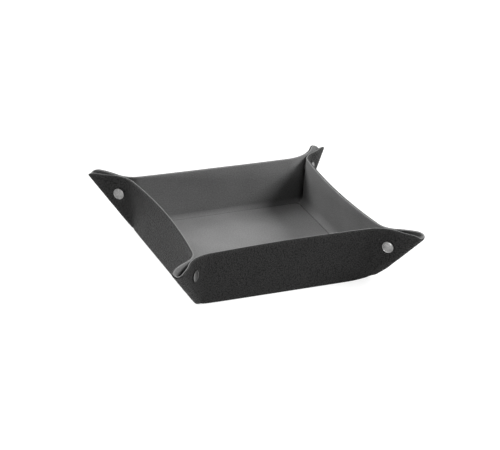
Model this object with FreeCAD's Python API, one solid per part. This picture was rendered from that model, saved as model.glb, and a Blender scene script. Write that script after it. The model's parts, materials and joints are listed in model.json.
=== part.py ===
import FreeCAD
import Part
import math
import os

from FreeCAD import Vector

# A valet tray made from one flat square of bonded leather and lining. A board stiffens the base.
# Four creases turn the walls up. At each corner the spare square of sheet is pinched into a flap that
# stands out along the diagonal, held by a snap. Undoing the snaps lets the whole sheet lie flat.
#
# Frame: origin at the middle of the underside, +Z up, the front wall towards -Y.
# The corner between the front and right walls is modelled once, in plan coordinates
# r (along the corner's diagonal, outwards) and n (away from the diagonal, on the front wall's side).
# The other half of the corner is its mirror image, and the other corners are quarter turns of it.

# Sheet
BASE_WIDTH = 150.0           # crease to crease
WALL_HEIGHT = 43.0           # crease to top edge, measured along the sheet
WALL_FLARE = math.radians(4.0)
SHEET_CORNER_RADIUS = 12.8   # the square sheet's rounded corners
LEATHER_T = 1.2
GLUE_T = 0.1
LINING_T = 0.8
BOARD_T = 1.5
BOARD_INSET = 1.5            # board edge inside the base panel's edge

# Corner fold, as the top edge shows it in plan
BEND_RADIUS_TOP = 11.0       # wall into flap, at the top edge
BEND_RADIUS_LOW = 2.0        # wall into flap, at the crease
PINCH_GAP = 0.4              # between the two lining faces at the pinch
FLAP_OPEN = math.radians(16.0)    # how far a flap leans off the diagonal, just past the pinch
FLAP_CLOSE = math.radians(4.0)    # how far it leans back where the fold begins
FLAP_FOOT = 3.0              # the flaps start this far above the crease
FLAP_HINGE_HEADING = math.radians(-22.0)   # where round the bend a flap turns on its wall
FOLD_HINGE_HEADING = math.radians(-47.0)   # where round the fold a fold half turns on its flap
FOLD_HINGE_INSET = 0.25      # that line's distance from the sheet's middle, on the lining's side
FLAP_UNFOLD = math.radians(50.0)           # how far a flap turns on its wall when the tray is laid out
FOLD_UNFOLD = math.radians(86.0)           # how far a fold half turns on its flap

# Clearances between panels that move against each other
CREASE_CLEARANCE = 0.3       # base to wall, wall to flap, flap to fold
FOLD_CLEARANCE = 0.7         # between the two halves of a fold

# Snaps
SNAP_ALONG = 11.5            # from the base corner, outwards along the diagonal
SNAP_RISE = 29.5             # above the crease
CAP_DIAMETER = 10.0
CAP_RIM_T = 0.6
CAP_DOME = 0.35              # middle of the cap above its rim
CAP_EDGE_RADIUS = 0.3
POST_DIAMETER = 2.4
POST_BORE = 1.2
POST_ROLL_T = 0.3            # rolled end that clamps the post
POST_ROLL_OVERHANG = 0.25
SOCKET_DIAMETER = 8.4
SOCKET_HEIGHT = 2.1
SOCKET_FLOOR_T = 0.5
SOCKET_BORE = 4.9
SPRING_WIRE = 0.45
SPRING_OVERLAP = 0.1         # how far the spring ring stands into the socket's bore
SPRING_DEPTH = 0.75          # spring's centre below the socket's mouth
SPRING_SPLIT = math.radians(30.0)
STUD_FLANGE_DIAMETER = 7.8
STUD_FLANGE_T = 0.5
STUD_HEIGHT = 1.5            # above the flange
STUD_HEAD_DIAMETER = 3.9
STUD_NECK_DIAMETER = 3.3
STUD_HEAD_T = 0.9
METAL_CLEARANCE = 0.05       # metal on metal, and around a post
SEAT_CLEARANCE = 0.1         # metal in its seat in the sheet

# Values that follow from the ones above
SHEET_T = LEATHER_T + GLUE_T + LINING_T
HALF_T = SHEET_T / 2
HALF_BASE = BASE_WIDTH / 2
CREASE_Z = HALF_T
PINCH_N = HALF_T + PINCH_GAP / 2
FOLD_END_N = FOLD_CLEARANCE / 2
DIAGONAL = math.radians(45.0)
LEATHER = (HALF_T, HALF_T - LEATHER_T)
LINING = (LINING_T - HALF_T, -HALF_T)
CORNER_R = math.sqrt(2) * HALF_BASE

WALLS = ["front", "right", "back", "left"]
UP = Vector(0, 0, 1)
DIAGONAL_NORMAL = Vector(-1, -1, 0) / math.sqrt(2)   # the way n grows, at the front right corner
DIAGONAL_AXIS = Vector(1, -1, 0) / math.sqrt(2)      # the way r grows


def half_gap(depth, unfold):
    """Half the gap between two panels, on a face that lies depth beyond their hinge on the side that closes."""
    return CREASE_CLEARANCE / 2 + max(0.0, depth) * math.tan(unfold / 2)


class Arc:
    """A round stretch of the sheet's centre line in plan. The heading is measured from the diagonal."""

    def __init__(self, centre_r, centre_n, radius, turn):
        self.centre_r = centre_r
        self.centre_n = centre_n
        self.radius = radius
        self.turn = turn    # 1 bends away from the diagonal, -1 bends back to it

    def point(self, heading, offset=0.0):
        """The point with that heading, moved by offset towards the leather side."""
        reach = self.turn * self.radius - offset
        r = self.centre_r + reach * math.sin(heading)
        n = self.centre_n - reach * math.cos(heading)
        return r, n


class Fibre:
    """The sheet's centre line at one rise above the crease, from the wall round to the fold.

    It keeps its flat length: the wall's half width plus the rise. So the flank's and the fold's radii
    follow from that length and from the fold ending on the diagonal.
    """

    def __init__(self, rise):
        share = rise / WALL_HEIGHT
        self.wall_out = HALF_BASE + rise * math.sin(WALL_FLARE)
        self.z = CREASE_Z + rise * math.cos(WALL_FLARE)
        bend_radius = BEND_RADIUS_LOW + share * (BEND_RADIUS_TOP - BEND_RADIUS_LOW)
        bend_n = PINCH_N + bend_radius * (1 - math.cos(DIAGONAL))
        self.wall_end = self.wall_out - math.sqrt(2) * bend_n
        pinch_r = math.sqrt(2) * self.wall_out - PINCH_N + bend_radius * (math.sqrt(2) - 1)
        self.bend = Arc(pinch_r, PINCH_N + bend_radius, bend_radius, 1)

        spare = HALF_BASE + rise - self.wall_end - bend_radius * (DIAGONAL + FLAP_OPEN)
        spread = bend_radius * (1 - math.cos(FLAP_OPEN)) + PINCH_N - FOLD_END_N
        fold_turn = math.pi / 2 - FLAP_CLOSE
        bow = (math.cos(FLAP_CLOSE) - math.cos(FLAP_OPEN)) / math.cos(FLAP_CLOSE)
        fold_start = spread / math.cos(FLAP_CLOSE)
        flank_radius = (spare - fold_turn * fold_start) / (FLAP_OPEN + FLAP_CLOSE + fold_turn * bow)
        fold_radius = fold_start + bow * flank_radius

        r, n = self.bend.point(FLAP_OPEN)
        self.flank = Arc(r + flank_radius * math.sin(FLAP_OPEN), n - flank_radius * math.cos(FLAP_OPEN),
                         flank_radius, -1)
        r, n = self.flank.point(-FLAP_CLOSE)
        self.fold = Arc(r - fold_radius * math.sin(FLAP_CLOSE), n - fold_radius * math.cos(FLAP_CLOSE),
                        fold_radius, -1)
        self.tip_r = self.fold.point(-math.pi / 2)[0]

    def flap_gap(self, offset):
        """Half the gap at the flap's hinge, as a heading, on the face at that offset. The lining side closes."""
        return half_gap(-offset, FLAP_UNFOLD) / max(self.bend.radius, self.bend.radius - offset)

    def fold_gap(self, offset):
        """Half the gap at the fold's hinge, as a heading. The leather side closes."""
        depth = offset + FOLD_HINGE_INSET
        return half_gap(depth, FOLD_UNFOLD) / max(self.fold.radius, self.fold.radius + offset)

    def wall_spans(self, offset):
        return [(self.bend, -DIAGONAL, FLAP_HINGE_HEADING - self.flap_gap(offset))]

    def flap_spans(self, offset):
        return [(self.bend, FLAP_HINGE_HEADING + self.flap_gap(offset), FLAP_OPEN),
                (self.flank, FLAP_OPEN, -FLAP_CLOSE),
                (self.fold, -FLAP_CLOSE, FOLD_HINGE_HEADING + self.fold_gap(offset))]

    def fold_spans(self, offset):
        return [(self.fold, FOLD_HINGE_HEADING - self.fold_gap(offset), -math.pi / 2)]

    def flank_n(self, along):
        """How far the flank's centre line is from the diagonal at r = along."""
        heading = math.asin((self.flank.centre_r - along) / self.flank.radius)
        return self.flank.point(heading)[1]


def corner_point(r, n, z):
    """Plan coordinates of the front right corner as a point of the tray."""
    return DIAGONAL_AXIS * r + DIAGONAL_NORMAL * n + UP * z


def span_edges(spans, offset, z):
    edges = []
    for arc, start, end in spans:
        points = [corner_point(*arc.point(h, offset), z) for h in (start, (start + end) / 2, end)]
        edges.append(Part.Arc(*points).toShape())
    return edges


def closed_section(spans_at, faces, z):
    """The closed outline of part of the sheet in a level plane. Faces are offsets, from the outer to the inner."""
    outer = span_edges(spans_at(faces[0]), faces[0], z)
    inner = span_edges(spans_at(faces[-1]), faces[-1], z)
    starts = []
    ends = []
    for offset in faces:
        first_arc, heading, _ = spans_at(offset)[0]
        starts.append(corner_point(*first_arc.point(heading, offset), z))
        last_arc, _, heading = spans_at(offset)[-1]
        ends.append(corner_point(*last_arc.point(heading, offset), z))
    close_end = [Part.LineSegment(a, b).toShape() for a, b in zip(ends, ends[1:])]
    close_start = [Part.LineSegment(a, b).toShape() for a, b in zip(starts, starts[1:])]
    return Part.Wire(Part.__sortEdges__(outer + close_end + inner[::-1] + close_start[::-1]))


def ruled_solid(sections):
    return Part.makeLoft(sections, True, True)


def wall_foot(layer):
    """The lowest strip of one layer of the front wall, straight from end to end."""
    sections = []
    for rise in (0.0, FLAP_FOOT):
        fibre = Fibre(rise)
        half = fibre.wall_end - CREASE_CLEARANCE
        near = -(fibre.wall_out + layer[0])
        far = -(fibre.wall_out + layer[1])
        corners = [Vector(-half, near, fibre.z), Vector(half, near, fibre.z),
                   Vector(half, far, fibre.z), Vector(-half, far, fibre.z)]
        sections.append(Part.makePolygon(corners + corners[:1]))
    return ruled_solid(sections)


def wall_panel(layer):
    """One layer of the front wall above its foot, with its share of the bend at each end."""
    sections = []
    for rise in (FLAP_FOOT, WALL_HEIGHT):
        fibre = Fibre(rise)
        runs = []
        for offset in layer:
            right = span_edges(fibre.wall_spans(offset), offset, fibre.z)[0]
            left = right.mirror(Vector(), Vector(1, 0, 0))
            middle = Part.LineSegment(left.firstVertex().Point, right.firstVertex().Point).toShape()
            runs.append((left, middle, right))
        outer, inner = runs
        ends = [Part.LineSegment(outer[side].lastVertex().Point, inner[side].lastVertex().Point).toShape()
                for side in (0, 2)]
        edges = list(outer) + [ends[1]] + list(inner[::-1]) + [ends[0]]
        sections.append(Part.Wire(Part.__sortEdges__(edges)))
    return ruled_solid(sections)


def crease_roll():
    """The half round at the bottom of a wall, where the leather turns under. Its axis is the crease."""
    half = Fibre(0.0).wall_end - CREASE_CLEARANCE
    roll = Part.makeCylinder(HALF_T, 2 * half, Vector(-half, -HALF_BASE, CREASE_Z), Vector(1, 0, 0))
    above = Part.makeBox(2 * half, SHEET_T, HALF_T, Vector(-half, -HALF_BASE - HALF_T, CREASE_Z))
    return roll.cut(above)


def corner_trim():
    """What the sheet's rounded corner takes off a flap, as a block across the diagonal."""
    centre = Fibre(WALL_HEIGHT - SHEET_CORNER_RADIUS)
    top = Fibre(WALL_HEIGHT)
    radius = top.z - centre.z
    width = 4 * BEND_RADIUS_TOP
    start = corner_point(centre.tip_r, -width / 2, centre.z)
    size = 2 * SHEET_CORNER_RADIUS
    corners = [start, start + UP * size, start + UP * size + DIAGONAL_AXIS * size, start + DIAGONAL_AXIS * size]
    block = Part.Face(Part.makePolygon(corners + corners[:1])).extrude(DIAGONAL_NORMAL * width)
    return block.cut(Part.makeCylinder(radius, width, start, DIAGONAL_NORMAL))


def flap_panel(layer):
    """One layer of a flap, on the front wall's side of the corner."""
    fibres = [Fibre(FLAP_FOOT), Fibre(WALL_HEIGHT)]
    sections = [closed_section(fibre.flap_spans, layer, fibre.z) for fibre in fibres]
    return ruled_solid(sections).cut(corner_trim())


def fold_half():
    """The last of the sheet before the diagonal, both layers as one, on the front wall's side."""
    fibres = [Fibre(FLAP_FOOT), Fibre(WALL_HEIGHT)]
    faces = (HALF_T, -FOLD_HINGE_INSET, -HALF_T)
    sections = [closed_section(fibre.fold_spans, faces, fibre.z) for fibre in fibres]
    return ruled_solid(sections).cut(corner_trim())


def revolve(profile, start):
    """A solid turned about the snap's axis. Profile points are (radius, distance from start towards +n)."""
    points = [Vector(radius, 0, along) for radius, along in profile]
    solid = Part.Face(Part.makePolygon(points + points[:1])).revolve(Vector(), UP, 360)
    solid.Placement = FreeCAD.Placement(start, FreeCAD.Rotation(UP, DIAGONAL_NORMAL))
    return solid


class Snap:
    """One snap, clamped through the two flaps of a corner. Side 1 is the front wall's flap, -1 the mirror image."""

    def __init__(self):
        fibre = Fibre(SNAP_RISE)
        self.r = CORNER_R + SNAP_ALONG
        self.z = fibre.z
        self.sheet_n = fibre.flank_n(self.r)
        self.outer_n = self.sheet_n + HALF_T
        self.inner_n = self.sheet_n - HALF_T

    def turned(self, profile):
        """A solid of revolution whose profile heights are values of n."""
        return revolve(profile, corner_point(self.r, 0, self.z))

    def cylinder(self, diameter, low_n, high_n):
        return self.turned([(0, low_n), (diameter / 2, low_n), (diameter / 2, high_n), (0, high_n)])

    def cap(self, post_end_n):
        """The cap on the outer face, with the hollow post that runs in to the rolled end at post_end_n."""
        rim = CAP_DIAMETER / 2
        post = POST_DIAMETER / 2
        bore = POST_BORE / 2
        top = self.outer_n + CAP_RIM_T
        roll = post + POST_ROLL_OVERHANG
        profile = [(0, top + CAP_DOME), (rim * 0.55, top + CAP_DOME * 0.75), (rim - CAP_EDGE_RADIUS, top),
                   (rim, top - CAP_EDGE_RADIUS), (rim, self.outer_n), (post, self.outer_n),
                   (post, post_end_n + POST_ROLL_T), (roll, post_end_n + POST_ROLL_T), (roll, post_end_n),
                   (bore, post_end_n), (bore, self.outer_n), (0, self.outer_n)]
        return self.turned(profile)

    def post_hole(self):
        reach = CAP_DIAMETER
        return self.cylinder(POST_DIAMETER + 2 * METAL_CLEARANCE, self.inner_n - reach, self.outer_n + reach)

    def cap_seat(self):
        return self.cylinder(CAP_DIAMETER + 2 * SEAT_CLEARANCE, self.outer_n - SEAT_CLEARANCE,
                             self.outer_n + CAP_DIAMETER)

    def inner_seat(self, diameter):
        return self.cylinder(diameter + 2 * SEAT_CLEARANCE, self.inner_n - CAP_DIAMETER,
                             self.inner_n + SEAT_CLEARANCE)

    def socket_room(self):
        """The room that the other flap's socket needs in the lining that faces it."""
        mouth = SOCKET_HEIGHT - self.inner_n
        return self.cylinder(SOCKET_DIAMETER + 2 * SEAT_CLEARANCE, mouth - CAP_DIAMETER, mouth + SEAT_CLEARANCE)

    def socket_cap_post_end(self):
        return self.inner_n - SOCKET_FLOOR_T - METAL_CLEARANCE - POST_ROLL_T

    def stud_cap_post_end(self):
        return self.stud_top() + METAL_CLEARANCE

    def stud_top(self):
        """The stud's top, as n on the mirror side: below zero, because it reaches past the diagonal."""
        return self.inner_n - STUD_FLANGE_T - STUD_HEIGHT

    def socket(self):
        """The ring that takes the stud, with a groove for the spring."""
        outer = SOCKET_DIAMETER / 2
        bore = SOCKET_BORE / 2
        hole = POST_DIAMETER / 2 + METAL_CLEARANCE
        mouth = self.inner_n - SOCKET_HEIGHT
        floor = self.inner_n - SOCKET_FLOOR_T
        spring_n = mouth + SPRING_DEPTH
        half_groove = SPRING_WIRE / 2 + METAL_CLEARANCE
        groove = bore - SPRING_OVERLAP + SPRING_WIRE + METAL_CLEARANCE
        profile = [(hole, self.inner_n), (outer, self.inner_n), (outer, mouth), (bore, mouth),
                   (bore, spring_n - half_groove), (groove, spring_n - half_groove),
                   (groove, spring_n + half_groove), (bore, spring_n + half_groove), (bore, floor), (hole, floor)]
        return self.turned(profile)

    def spring(self):
        """The split wire ring that grips the stud's head."""
        ring = SOCKET_BORE / 2 - SPRING_OVERLAP + SPRING_WIRE / 2
        spring_n = self.inner_n - SOCKET_HEIGHT + SPRING_DEPTH
        ends = math.degrees(2 * math.pi - SPRING_SPLIT)
        wire = Part.makeTorus(ring, SPRING_WIRE / 2, Vector(), UP, 0, 360, ends)
        wire.Placement = FreeCAD.Placement(corner_point(self.r, spring_n, self.z),
                                           FreeCAD.Rotation(UP, DIAGONAL_NORMAL))
        return wire

    def stud(self):
        """The stud on the mirror side's flap, modelled on the front wall's side and mirrored later."""
        flange = STUD_FLANGE_DIAMETER / 2
        neck = STUD_NECK_DIAMETER / 2
        head = STUD_HEAD_DIAMETER / 2
        hole = POST_DIAMETER / 2 + METAL_CLEARANCE
        recess = POST_DIAMETER / 2 + POST_ROLL_OVERHANG + METAL_CLEARANCE
        face = self.inner_n - STUD_FLANGE_T
        top = self.stud_top()
        recess_floor = top + POST_ROLL_T + 2 * METAL_CLEARANCE
        chamfer = (head - recess) / 2
        profile = [(hole, self.inner_n), (flange, self.inner_n), (flange, face), (neck, face),
                   (neck, top + STUD_HEAD_T), (head, top + STUD_HEAD_T / 2), (head - chamfer, top),
                   (recess, top), (recess, recess_floor), (hole, recess_floor)]
        return self.turned(profile)


def mirrored(shape):
    """The same piece on the other side of the front right corner's diagonal."""
    return shape.mirror(Vector(), DIAGONAL_NORMAL)


def quarter_turns(shape, count):
    """A copy turned about the tray's upright axis, from one wall to the next."""
    copy = shape.copy()
    copy.rotate(Vector(), UP, 90.0 * count)
    return copy


def base_pieces():
    half = HALF_BASE - HALF_T - CREASE_CLEARANCE
    board_z = LEATHER_T + GLUE_T
    lining_z = board_z + BOARD_T + GLUE_T

    def plate(half_width, z, thickness):
        corner = Vector(-half_width, -half_width, z)
        return Part.makeBox(2 * half_width, 2 * half_width, thickness, corner)

    return {"leather_base": plate(half, 0, LEATHER_T),
            "base_board": plate(half - BOARD_INSET, board_z, BOARD_T),
            "lining_base": plate(half, lining_z, LINING_T)}


def wall_pieces():
    leather = wall_panel(LEATHER).fuse([wall_foot(LEATHER), crease_roll()]).removeSplitter()
    lining = wall_panel(LINING).fuse(wall_foot(LINING)).removeSplitter()
    pieces = {}
    for turn, wall in enumerate(WALLS):
        pieces[f"leather_{wall}"] = quarter_turns(leather, turn)
        pieces[f"lining_{wall}"] = quarter_turns(lining, turn)
    return pieces


def corner_pieces():
    snap = Snap()
    leather = flap_panel(LEATHER).cut(snap.post_hole()).cut(snap.cap_seat())
    lining = flap_panel(LINING).cut(snap.post_hole())
    fold = fold_half()
    socket_seat = snap.inner_seat(SOCKET_DIAMETER)
    stud_seat = snap.inner_seat(STUD_FLANGE_DIAMETER)
    socket_lining = lining.cut(socket_seat)
    stud_lining = mirrored(lining.cut(stud_seat).cut(snap.socket_room()))
    socket_leather = leather.cut(socket_seat)
    stud_leather = mirrored(leather.cut(stud_seat))
    pieces = {}
    for turn, wall in enumerate(WALLS):
        after = WALLS[(turn + 1) % len(WALLS)]
        corner = f"{wall}_{after}"
        models = {f"leather_{wall}_flap_{after}": socket_leather, f"leather_{after}_flap_{wall}": stud_leather,
                  f"lining_{wall}_flap_{after}": socket_lining, f"lining_{after}_flap_{wall}": stud_lining,
                  f"{wall}_fold_{after}": fold, f"{after}_fold_{wall}": mirrored(fold),
                  f"socket_cap_{corner}": snap.cap(snap.socket_cap_post_end()),
                  f"snap_socket_{corner}": snap.socket(),
                  f"snap_spring_{corner}": snap.spring(),
                  f"stud_cap_{corner}": mirrored(snap.cap(snap.stud_cap_post_end())),
                  f"snap_stud_{corner}": mirrored(snap.stud())}
        for name, shape in models.items():
            pieces[name] = quarter_turns(shape, turn)
    return pieces


def report_hinges():
    """Prints the lines that the flap and the fold turn about, on the front wall's side of its right corner."""
    low, top = Fibre(FLAP_FOOT), Fibre(WALL_HEIGHT)
    hinges = {"flap": [f.bend.point(FLAP_HINGE_HEADING) for f in (low, top)],
              "fold": [f.fold.point(FOLD_HINGE_HEADING, -FOLD_HINGE_INSET) for f in (low, top)]}
    for name, plan in hinges.items():
        ends = [corner_point(*plan[0], low.z), corner_point(*plan[1], top.z)]
        print(name, "hinge from", [round(x, 4) for x in ends[0]], "to", [round(x, 4) for x in ends[1]])


def main():
    os.makedirs("parts", exist_ok=True)
    pieces = {**base_pieces(), **wall_pieces(), **corner_pieces()}
    for name, shape in pieces.items():
        shape.exportStep(f"parts/{name}.step")
    report_hinges()
    print(len(pieces), "pieces")


main()
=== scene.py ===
"""Valet tray of black grained leather lined in grey, set up on its corner snaps in a white studio.

The tray is one flat square of bonded leather and lining. Every panel is worked out from one folding rule
that keeps the sheet's flat lengths, so the leather's grain runs on from panel to panel. Leather, lining and
snaps are separate pieces. The base's plates, the walls and the caps are parented to empties named after the
frame's bodies; the flaps, folds and crease strips are not. Lengths are in metres and angles in radians.
"""

from __future__ import annotations

import json
import logging
import math
from dataclasses import dataclass
from enum import Enum

import bpy
import numpy as np
from mathutils import Matrix, Vector

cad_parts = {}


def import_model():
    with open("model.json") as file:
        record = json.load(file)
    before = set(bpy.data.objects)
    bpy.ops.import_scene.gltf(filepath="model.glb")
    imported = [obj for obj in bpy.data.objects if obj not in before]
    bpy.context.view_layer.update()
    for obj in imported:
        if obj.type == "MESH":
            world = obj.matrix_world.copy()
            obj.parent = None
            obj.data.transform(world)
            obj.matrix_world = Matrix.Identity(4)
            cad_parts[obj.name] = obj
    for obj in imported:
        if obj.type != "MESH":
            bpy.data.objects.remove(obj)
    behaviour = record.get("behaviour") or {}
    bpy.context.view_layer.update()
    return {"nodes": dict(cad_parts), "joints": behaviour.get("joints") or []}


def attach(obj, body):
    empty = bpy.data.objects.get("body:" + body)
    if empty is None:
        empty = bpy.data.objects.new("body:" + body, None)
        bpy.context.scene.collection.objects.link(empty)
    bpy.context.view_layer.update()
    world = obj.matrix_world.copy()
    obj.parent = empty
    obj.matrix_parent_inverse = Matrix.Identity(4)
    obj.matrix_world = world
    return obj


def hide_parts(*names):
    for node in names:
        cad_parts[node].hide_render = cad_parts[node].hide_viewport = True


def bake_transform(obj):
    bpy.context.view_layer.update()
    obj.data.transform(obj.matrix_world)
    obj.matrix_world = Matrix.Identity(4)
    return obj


# Names and types that the whole file uses
LOG = logging.getLogger("valet_tray")
FLAT_MAP = "flat"
# The attribute holds how worn the leather is at its cut edge and the painted shade along the floor's pressed
# line.
WEAR_AND_SHADE_MAP = "wear"
ROOT_TWO = math.sqrt(2.0)
ROOT_HALF = 1.0 / ROOT_TWO
EIGHTH_TURN = math.pi / 4
QUARTER_TURN = math.pi / 2

Array = np.ndarray
Amount = float | np.ndarray
Pair = tuple[float, float]
Triple = tuple[float, float, float]
Piece = bpy.types.Object
Material = bpy.types.Material
Node = bpy.types.Node
Socket = bpy.types.NodeSocket
Tree = bpy.types.NodeTree


# Named options
class Wall(Enum):
    """The four walls, in the order of quarter turns from the front."""

    FRONT = 0
    RIGHT = 1
    BACK = 2
    LEFT = 3

    @property
    def label(self) -> str:
        """The wall's name in the frame."""
        return self.name.lower()

    def neighbour(self, side: int) -> Wall:
        """The wall met at the end on that side, 1 or -1."""
        return Wall((self.value + side) % len(Wall))


class Layer(Enum):
    """The two bonded layers of the sheet."""

    LEATHER = "leather"
    LINING = "lining"


class Zone(Enum):
    """The stretches that the sheet passes through from a wall's middle to the corner's diagonal."""

    WALL = 0
    BEND = 1
    FLANK = 2
    FOLD = 3


class Cap(Enum):
    """The two caps of a snap, by the side of the wall that carries them."""

    SOCKET = 1
    STUD = -1

    @property
    def label(self) -> str:
        """The cap's name in the frame, before the corner's name."""
        return f"{self.name.lower()}_cap"


class Ranged(Enum):
    """The side of a remapping that has its own range, while the other side runs from 0 to 1."""

    RESULT = "To"
    VALUE = "From"


# Sizes and places on the sheet
@dataclass(frozen=True)
class Column:
    """A column of the sheet from foot to rim: the stretch that it is on, and how far through that stretch."""

    zone: Zone
    share: float

    def moved(self, by: float) -> Column:
        """The column that is further on by a share of the stretch."""
        return Column(self.zone, self.share + by)


@dataclass(frozen=True)
class SheetSizes:
    """Sizes of the folded sheet. Low is at the crease and top is at the cut edge.

    Bend is the radius at a wall's end, and fold is the radius at the diagonal. Open and close are the flap's
    headings off the diagonal where it leaves the bend and where it meets the fold. They reach their top
    values at pinch_share of the height, and halfway there the plan is shorter by slack.
    """

    half_base: float = 0.075
    wall_height: float = 0.043
    wall_flare: float = math.radians(4.0)
    corner_radius: float = 0.0128
    leather: float = 0.0012
    glue: float = 0.0001
    lining: float = 0.0008
    board: float = 0.0015
    bend_low: float = 0.0012
    bend_top: float = 0.020
    bend_power: float = 0.75
    fold_low: float = 0.0009
    fold_top: float = 0.00435
    open_low: float = math.radians(-12.0)
    open_top: float = math.radians(16.0)
    close_low: float = math.radians(26.0)
    close_top: float = math.radians(4.0)
    pinch_share: float = 0.45
    slack: float = 0.0006
    bow_power: float = 1.4
    fold_turn: float = math.radians(43.0)
    fold_lead: float = 0.0030
    foot_reach: float = 0.014
    lift_fade: float = 0.012
    plate_inset: float = 0.00135
    rim_round: float = 0.0005
    glue_gap: float = 0.2

    @property
    def half(self) -> float:
        """Half the sheet's thickness, which is also the crease's height."""
        return (self.leather + self.glue + self.lining) / 2

    @property
    def floor_bottom(self) -> float:
        """Height of the underside of the floor's lining."""
        return self.leather + self.glue + self.board + self.glue

    @property
    def floor_top(self) -> float:
        """Height of the floor."""
        return self.floor_bottom + self.lining

    def faces(self, layer: Layer) -> Pair:
        """Offsets of a layer's two faces from the sheet's middle.

        Args:
            layer: the layer.

        Returns:
            The offset of its outer face and of its inner face, to the leather side.
        """
        split = self.half - self.leather - self.glue / 2
        hair = self.glue * self.glue_gap
        if layer is Layer.LEATHER:
            return self.half, split + hair
        return split - hair, -self.half


@dataclass(frozen=True)
class SnapSizes:
    """Where the snaps sit, and the turned shape of their caps.

    The dome falls over dome_shares of the radius to a groove. The groove's steps are (distance from
    groove_share of the radius, share of the dome's height). The rolled edge starts at edge_share of the
    dome's height.
    """

    along: float = 0.0115
    rise: float = 0.0295
    seat: float = 0.00259
    radius: float = 0.005
    rim_height: float = 0.0006
    dome: float = 0.00035
    dome_shares: tuple[float, ...] = (0.2, 0.4, 0.6, 0.72)
    groove_share: float = 0.80
    groove_steps: tuple[Pair, ...] = ((-0.00012, 0.32), (0.0, 0.12), (0.00016, 0.12), (0.00030, 0.3))
    edge: float = 0.0003
    edge_share: float = 0.3
    edge_turn: Pair = (math.pi / 2, -math.pi / 6)
    edge_steps: int = 7
    under_share: float = 0.6
    post_radius: float = 0.0012
    post_length: float = 0.0024
    flat_radius: float = 0.0046
    dimple_radius: float = 0.0110
    segments: int = 64


@dataclass(frozen=True)
class Corner:
    """What both halves of a corner share: its short reach, its lift, and its foot's rounding and lift."""

    reach: float
    lift: float
    foot_round: float
    foot_lift: float


@dataclass(frozen=True)
class HandFold:
    """How a half wall departs from an even fold: its bow, its bend's size, its rim's lift and its corner."""

    bow: float
    bend: float
    rim_lift: float
    corner: Corner


@dataclass(frozen=True)
class FoldShape:
    """The plan of the sheet's middle at some rises, from a wall's middle to the diagonal."""

    out: Array
    lean: Array
    start: Array
    opening: Array
    closing: Array
    bend: Array
    flank: Array
    fold: Array
    wall_end: Array
    total: Array


# The folding rule
def smooth_step(value: Array) -> Array:
    """A soft step from 0 to 1 over the unit interval."""
    held = np.clip(value, 0.0, 1.0)
    return held * held * (3.0 - 2.0 * held)


def ease(low: Amount, top: Amount, share: Amount) -> Amount:
    """A value on the way from low to top."""
    return low + (top - low) * share


def to_diagonal(along: Amount, out: Amount) -> tuple[Amount, Amount]:
    """Turns distances along a wall and outwards into distances along the corner's diagonal and off it."""
    return (along + out) * ROOT_HALF, (out - along) * ROOT_HALF


def from_diagonal(on: Amount, off: Amount) -> tuple[Amount, Amount]:
    """Turns distances along the corner's diagonal and off it into distances along a wall and outwards."""
    return (on - off) * ROOT_HALF, (on + off) * ROOT_HALF


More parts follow.
